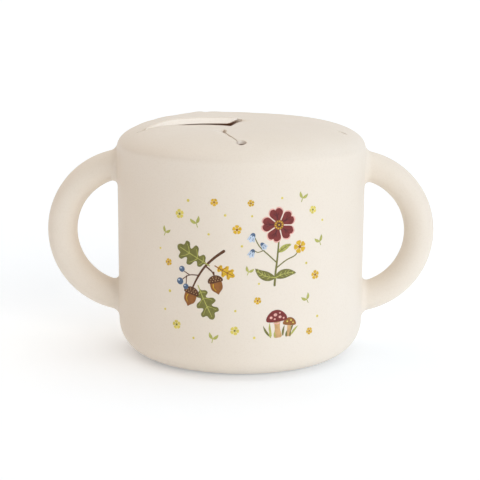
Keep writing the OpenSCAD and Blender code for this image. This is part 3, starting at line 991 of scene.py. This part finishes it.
# ---------------------------------------------------------------------------------------------
# Materials
# ---------------------------------------------------------------------------------------------
def silicone(name, base, rough):
    mat = bpy.data.materials.new(name)
    mat.use_nodes = True
    nt = mat.node_tree
    nt.nodes.clear()
    N, L = nt.nodes.new, nt.links.new
    out, bsdf, co = N("ShaderNodeOutputMaterial"), N("ShaderNodeBsdfPrincipled"), N("ShaderNodeTexCoord")
    L(bsdf.outputs[0], out.inputs[0])

    def noise(scale, detail, roughness=0.55):
        t = N("ShaderNodeTexNoise")
        t.inputs["Scale"].default_value = scale
        t.inputs["Detail"].default_value = detail
        t.inputs["Roughness"].default_value = roughness
        L(co.outputs["Object"], t.inputs["Vector"])
        return t

    def ramp(src, stops):
        r = N("ShaderNodeValToRGB")
        r.color_ramp.elements[0].position, r.color_ramp.elements[0].color = stops[0][0], (*stops[0][1], 1)
        r.color_ramp.elements[1].position, r.color_ramp.elements[1].color = stops[1][0], (*stops[1][1], 1)
        L(src, r.inputs[0])
        return r

    b = np.array(base)
    # soft clouds in the pigment, a few centimetres across, and very fine grains in it
    cloud = noise(26, 3)
    tint = ramp(cloud.outputs["Fac"], [(0.3, tuple(b * [0.985, 0.975, 0.955])), (0.7, tuple(np.minimum(1, b * [1.01, 1.012, 1.015])))])
    grain = noise(1700, 2, 0.7)
    speck = ramp(grain.outputs["Fac"], [(0.36, (0.955, 0.945, 0.93)), (0.5, (1, 1, 1))])
    mix = N("ShaderNodeMix")
    mix.data_type, mix.blend_type = "RGBA", "MULTIPLY"
    mix.inputs["Factor"].default_value = 0.5
    L(tint.outputs[0], mix.inputs["A"])
    L(speck.outputs[0], mix.inputs["B"])
    L(mix.outputs["Result"], bsdf.inputs["Base Color"])
    # satin with drier and smoother places
    patch = noise(60, 4, 0.6)
    rr = N("ShaderNodeMapRange")
    rr.inputs["From Min"].default_value, rr.inputs["From Max"].default_value = 0.3, 0.7
    rr.inputs["To Min"].default_value, rr.inputs["To Max"].default_value = rough - 0.045, rough + 0.045
    L(patch.outputs["Fac"], rr.inputs["Value"])
    L(rr.outputs["Result"], bsdf.inputs["Roughness"])
    # the moulded face: a fine blasted texture over a faint long wave
    fine, wave = noise(3200, 2, 0.6), noise(95, 2, 0.5)
    b1, b2 = N("ShaderNodeBump"), N("ShaderNodeBump")
    b1.inputs["Strength"].default_value, b1.inputs["Distance"].default_value = 0.16, 0.00006
    b2.inputs["Strength"].default_value, b2.inputs["Distance"].default_value = 0.25, 0.0001
    L(wave.outputs["Fac"], b2.inputs["Height"])
    L(fine.outputs["Fac"], b1.inputs["Height"])
    L(b2.outputs[0], b1.inputs["Normal"])
    L(b1.outputs[0], bsdf.inputs["Normal"])
    bsdf.inputs["IOR"].default_value = 1.42
    bsdf.inputs["Specular IOR Level"].default_value = 0.5
    bsdf.inputs["Sheen Weight"].default_value = 0.05
    bsdf.inputs["Sheen Roughness"].default_value = 0.5
    # a faint warm emission: a painted glow that stands in for light passing through the silicone, and it shows most in
    # the deepest shaded gaps
    bsdf.inputs["Emission Color"].default_value = (1.0, 0.4, 0.2, 1)
    bsdf.inputs["Emission Strength"].default_value = 0.016
    return mat


def ink_material(name, rgb):
    """Screen-printed silicone ink: an even colour with a little mottle, over the cup's own fine texture."""
    mat = bpy.data.materials.new(name)
    mat.use_nodes = True
    nt = mat.node_tree
    bsdf = nt.nodes["Principled BSDF"]
    N, L = nt.nodes.new, nt.links.new
    co = N("ShaderNodeTexCoord")
    c = np.array([v / 255 for v in rgb])
    c = np.where(c <= 0.04045, c / 12.92, ((c + 0.055) / 1.055) ** 2.4)
    mottle = N("ShaderNodeTexNoise")
    mottle.inputs["Scale"].default_value, mottle.inputs["Detail"].default_value = 750, 4
    r = N("ShaderNodeValToRGB")
    r.color_ramp.elements[0].position, r.color_ramp.elements[0].color = 0.34, (*(c * 0.86), 1)
    r.color_ramp.elements[1].position, r.color_ramp.elements[1].color = 0.66, (*np.minimum(1, c * 1.1 + 0.004), 1)
    L(co.outputs["Object"], mottle.inputs["Vector"])
    L(mottle.outputs["Fac"], r.inputs[0])
    L(r.outputs[0], bsdf.inputs["Base Color"])
    dry = N("ShaderNodeTexNoise")
    dry.inputs["Scale"].default_value, dry.inputs["Detail"].default_value = 300, 3
    rr = N("ShaderNodeMapRange")
    rr.inputs["From Min"].default_value, rr.inputs["From Max"].default_value = 0.3, 0.7
    rr.inputs["To Min"].default_value, rr.inputs["To Max"].default_value = 0.5, 0.62
    L(co.outputs["Object"], dry.inputs["Vector"])
    L(dry.outputs["Fac"], rr.inputs["Value"])
    L(rr.outputs["Result"], bsdf.inputs["Roughness"])
    fine, bump = N("ShaderNodeTexNoise"), N("ShaderNodeBump")
    fine.inputs["Scale"].default_value, fine.inputs["Detail"].default_value = 3200, 2
    bump.inputs["Strength"].default_value, bump.inputs["Distance"].default_value = 0.16, 0.00006
    L(co.outputs["Object"], fine.inputs["Vector"])
    L(fine.outputs["Fac"], bump.inputs["Height"])
    L(bump.outputs[0], bsdf.inputs["Normal"])
    bsdf.inputs["IOR"].default_value = 1.45
    return mat


CUP_MAT = silicone("cup_silicone", (0.806, 0.741, 0.648), 0.50)
LID_MAT = silicone("lid_silicone", (0.806, 0.741, 0.648), 0.52)
CUT_MAT_PAINTED_HIGHLIGHT = silicone("lid_silicone_cut_painted_highlight", (0.92, 0.875, 0.80), 0.46)       # the cut faces are painted paler than the moulded skin: a painted highlight for the light the lifted lip catches

cup = build_cup()
cup.data.materials.append(CUP_MAT)
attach(cup, "cup")
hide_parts("cup_body", "handle_left", "handle_right")

inks = build_print()
for ink, ob in inks.items():
    ob.data.materials.append(ink_material("ink_" + ink, INKS[ink]))
    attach(ob, "cup")

lid = build_lid()
for piece, ob in lid.items():
    ob.data.materials.append(LID_MAT)
    # second slot: the paler copy of the silicone, a painted highlight on the cut faces
    ob.data.materials.append(CUT_MAT_PAINTED_HIGHLIGHT)
    if piece == "lid_shell":
        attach(ob, "lid")
        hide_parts("lid_ring")
    else:
        flap = piece[:-5]
        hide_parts(flap)
        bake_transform(ob)

# ---------------------------------------------------------------------------------------------
# Floor, light and camera
# ---------------------------------------------------------------------------------------------
floor_mesh = bpy.data.meshes.new("floor")
bm = bmesh.new()
bmesh.ops.create_grid(bm, x_segments=1, y_segments=1, size=60.0)
bmesh.ops.translate(bm, verts=bm.verts, vec=(0, 0, -0.00004))
bm.to_mesh(floor_mesh)
bm.free()
floor = bpy.data.objects.new("floor", floor_mesh)
bpy.context.scene.collection.objects.link(floor)
fmat = bpy.data.materials.new("floor_white")
fmat.use_nodes = True
fb = fmat.node_tree.nodes["Principled BSDF"]
fb.inputs["Base Color"].default_value = (0.96, 0.96, 0.96, 1)
fb.inputs["Roughness"].default_value = 0.9
fb.inputs["Specular IOR Level"].default_value = 0.1
fb.inputs["Emission Color"].default_value = (0.743, 0.877, 1.0, 1)      # a white table, lit a little from below
fb.inputs["Emission Strength"].default_value = 0.18
floor_mesh.materials.append(fmat)

world = bpy.data.worlds.new("studio")
bpy.context.scene.world = world
world.use_nodes = True
world.node_tree.nodes["Background"].inputs[0].default_value = (1.0, 0.932, 0.905, 1)
world.node_tree.nodes["Background"].inputs[1].default_value = 0.262


def soft_sun(name, azimuth, elevation, angle, strength, colour):
    """A large soft light far away; azimuth 0 is the front, and 90 the right."""
    data = bpy.data.lights.new(name, "SUN")
    data.angle = math.radians(angle)
    data.energy = strength
    data.color = colour
    ob = bpy.data.objects.new(name, data)
    bpy.context.scene.collection.objects.link(ob)
    az, el = math.radians(azimuth), math.radians(elevation)
    away = Vector((math.sin(az) * math.cos(el), -math.cos(az) * math.cos(el), math.sin(el)))
    ob.location = away
    ob.rotation_euler = (-away).to_track_quat("-Z", "Y").to_euler()
    return ob


soft_sun("key", 20, 25, 25, 0.50, (1.0, 1.0, 1.0))
soft_sun("low_right", 50, 5, 60, 1.64, (0.917, 0.954, 1.0))
soft_sun("top", 0, 88, 70, 0.50, (0.968, 1.0, 0.944))
soft_sun("right", 90, 30, 60, 0.236, (0.038, 0.462, 1.0))
soft_sun("left", -90, 30, 60, 0.223, (1.0, 0.44, 0.0))
soft_sun("back", 180, 50, 120, 1.37, (0.98, 0.994, 1.0))

scene = bpy.context.scene
scene.view_settings.view_transform = "Standard"
cam_data = bpy.data.cameras.new("camera")
cam = bpy.data.objects.new("camera", cam_data)
scene.collection.objects.link(cam)
ELEV, DIST, ROLL = math.radians(12.02), 0.5382, math.radians(0.35)
cam_data.sensor_width = 36.0
cam_data.lens = 116.13
cam_data.shift_x = -0.0014
cam_data.shift_y = 0.0093
cam_data.clip_start, cam_data.clip_end = 0.02, 20.0
target = Vector((0, 0, 0.037))
cam.matrix_world = (Matrix.Translation(target + Vector((0, -DIST * math.cos(ELEV), DIST * math.sin(ELEV))))
                    @ Matrix.Rotation(math.radians(90) - ELEV, 4, "X") @ Matrix.Rotation(ROLL, 4, "Z"))
scene.camera = cam

bpy.context.view_layer.update()
